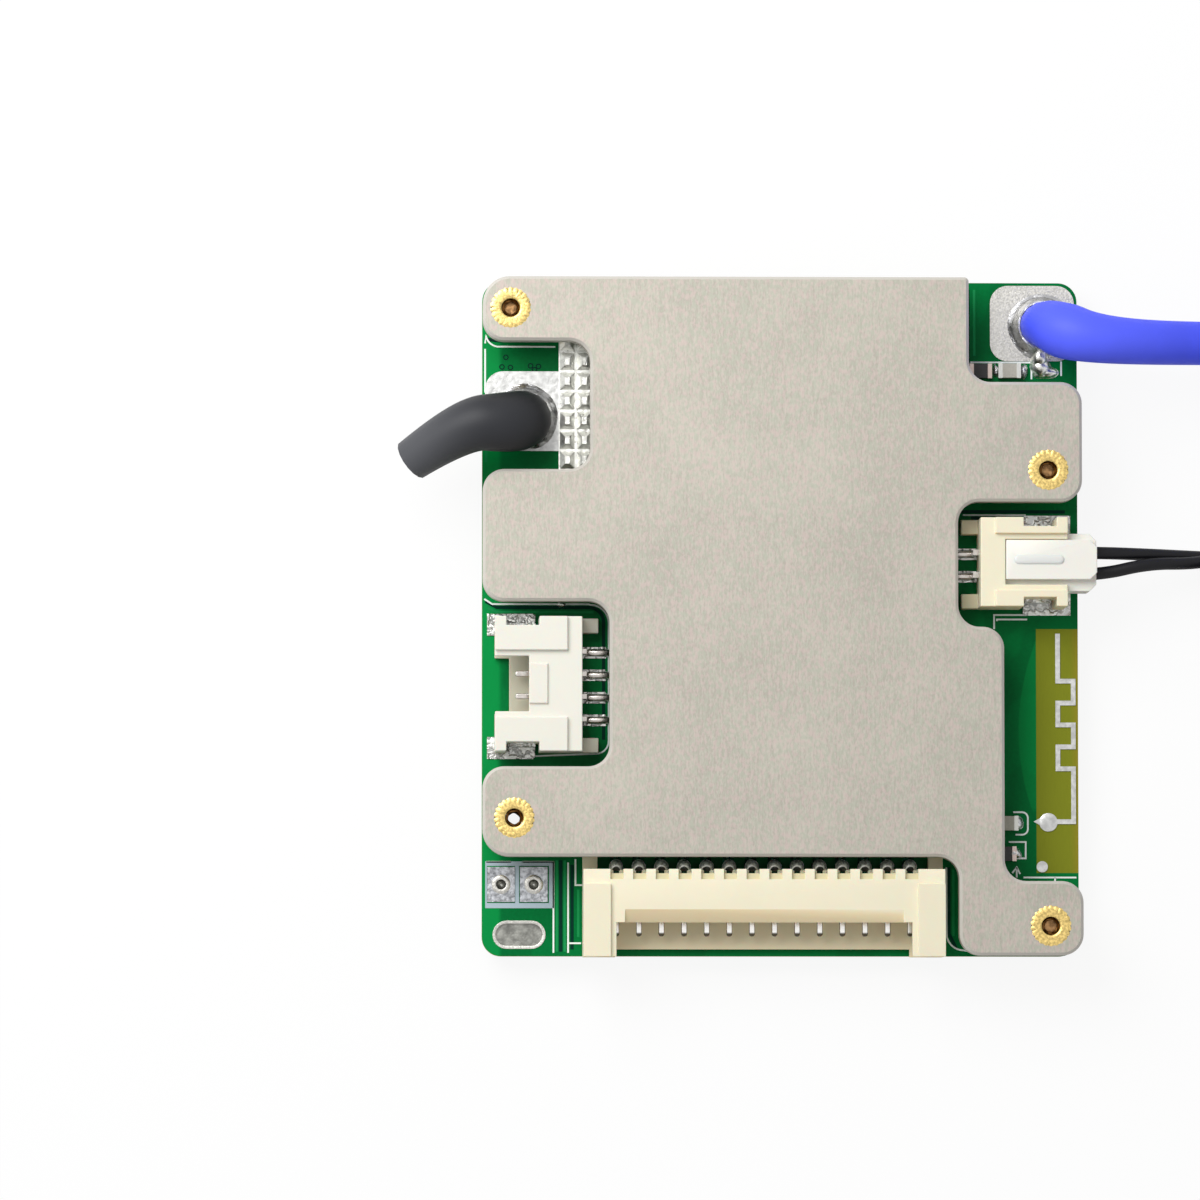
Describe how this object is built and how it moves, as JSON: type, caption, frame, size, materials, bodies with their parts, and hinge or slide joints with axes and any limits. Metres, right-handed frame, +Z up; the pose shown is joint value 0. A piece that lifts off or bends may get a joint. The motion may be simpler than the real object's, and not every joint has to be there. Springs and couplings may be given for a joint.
{
  "type": "battery management board",
  "caption": "Battery management circuit board under a notched heat spreader on knurled standoffs, with side-entry headers, a printed antenna and heavy leads.",
  "frame": {"origin": "middle of the base of the board's own box, leads on the sensor plug and the battery lead not counted", "axes": "+Z up through the heat spreader, +Y from the balance header towards the far edge, +X towards the side where the leads leave"},
  "size_m": [0.1336, 0.0602, 0.0116],
  "materials": {
    "board": "green solder mask, semi gloss",
    "plate": "fine brushed, satin",
    "brass": "turned and knurled",
    "steel": "bright zinc",
    "tin": "tinned, slightly uneven",
    "copper": "stranded copper, cut end",
    "thermal": "soft grey pad",
    "chip": "moulded, matt",
    "ceramic": "fired ceramic with tinned ends",
    "ivory": "moulded nylon, natural",
    "white": "moulded nylon, off white",
    "plug": "moulded nylon, white",
    "blue": "soft insulation, satin",
    "black": "soft insulation, satin"
  },
  "bodies": {
    "root": {"circuit_board": "board", "heat_spreader": "plate", "threaded_standoffs": "brass", "board_screws": "steel", "thermal_pad": "thermal", "front_end_chip": "chip", "controller_chip": "chip", "radio_chip": "chip", "crystal": "steel", "chip_capacitors": "ceramic", "chip_resistors": "chip", "balance_resistors": "chip", "balance_transistors": "chip", "regulator_inductor": "chip", "regulator_chip": "chip", "protection_diode": "chip", "balance_header_housing": "ivory", "balance_header_contacts": "tin", "balance_header_tabs": "tin", "serial_header_housing": "white", "serial_header_contacts": "tin", "serial_header_tabs": "tin", "sensor_header_housing": "ivory", "sensor_header_contacts": "tin", "sensor_header_tabs": "tin", "header_solder_pads": "tin", "battery_pad": "tin", "discharge_pad": "tin", "current_strip": "tin", "switch_pads": "tin", "antenna_trace": "tin", "battery_lead_core": "copper", "battery_lead_solder": "tin", "discharge_lead_core": "copper", "discharge_lead_solder": "tin", "discharge_lead_sleeve": "black", "sensor_plug_housing": "plug", "sensor_plug_terminals": "tin", "sensor_wire_1": "black", "sensor_wire_2": "black", "sensor_lead_coil": "black", "thermistor_bead": "black", "battery_lead": "blue", "battery_lead_coil": "blue", "battery_lead_tip": "tin", "power_transistor_1": "chip", "power_transistor_2": "chip", "power_transistor_3": "chip", "power_transistor_4": "chip", "power_transistor_5": "chip", "power_transistor_6": "chip", "power_transistor_7": "chip", "power_transistor_8": "chip", "current_shunt_1": "steel", "current_shunt_2": "steel"}
  },
  "joints": []
}
